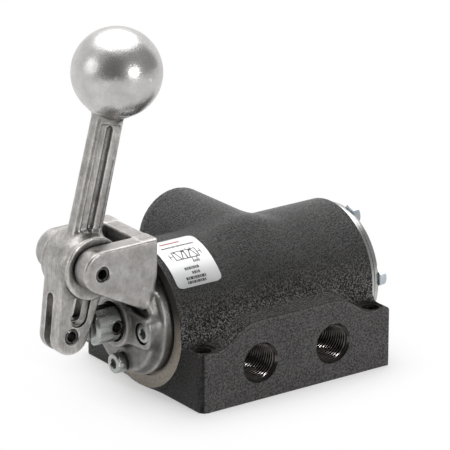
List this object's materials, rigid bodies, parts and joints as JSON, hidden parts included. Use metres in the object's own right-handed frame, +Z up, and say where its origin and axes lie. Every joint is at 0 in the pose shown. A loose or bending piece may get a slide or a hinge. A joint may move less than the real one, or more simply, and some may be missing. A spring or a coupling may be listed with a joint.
{
  "type": "hand lever spool valve",
  "caption": "Manual air control valve with a ball-ended lever, cast body with threaded ports, sliding spool, lever bracket and bolted end cap.",
  "frame": {"origin": "centre of the mounting hole pattern on the foot's bottom face", "axes": "+Z up from the mounting face, +X along the spool away from the lever, -Y out of the two outlet ports"},
  "size_m": [0.1547, 0.0897, 0.1586],
  "materials": {
    "body_casting": "rough black coating over a sand casting",
    "cast_aluminium": "satin die casting",
    "plated_steel": "zinc plated",
    "bolt_steel": "bright zinc plated",
    "black_steel": "black oxide",
    "cap_plate": "machined",
    "brass": "machined",
    "seal_rubber": "smooth",
    "gasket_fibre": "matte",
    "label_foil": "pale foil"
  },
  "bodies": {
    "root": {"valve_body": "body_casting", "lever_bracket": "cast_aluminium", "bracket_gasket": "gasket_fibre", "bracket_screws": "plated_steel", "pivot_pin": "black_steel", "front_spacer": "brass", "seal_1": "seal_rubber", "cage_1": "brass", "seal_2": "seal_rubber", "cage_2": "brass", "seal_3": "seal_rubber", "cage_3": "brass", "seal_4": "seal_rubber", "cage_4": "brass", "seal_5": "seal_rubber", "cage_5": "brass", "stack_washer": "plated_steel", "end_cap_gasket": "gasket_fibre", "end_cap": "cap_plate", "end_cap_bolts": "bolt_steel", "label": "label_foil"},
    "lever": {"lever": "cast_aluminium", "arm_pin": "black_steel"},
    "link": {"link": "plated_steel"},
    "spool": {"spool": "plated_steel", "spool_pin": "black_steel"}
  },
  "joints": [
    {"name": "lever_swing", "type": "hinge", "parent": "root", "child": "lever", "pos_m": [-0.0807, 0, 0.0612], "axis": [0, -1, 0], "range_deg": [0, 28.4]},
    {"name": "link_turn", "type": "hinge", "parent": "lever", "child": "link", "pos_m": [-0.08816, 0, 0.03173], "axis": [0, -1, 0], "range_deg": [-28.4, 0]},
    {"name": "spool_slide", "type": "slide", "parent": "root", "child": "spool", "axis": [1, 0, 0], "range_m": [0, 0.01491]}
  ],
  "couplings": [
    {"joint": "link_turn", "follows": "lever_swing", "ratio": -1},
    {"joint": "spool_slide", "follows": "lever_swing", "m_per_rad": 0.03009}
  ]
}
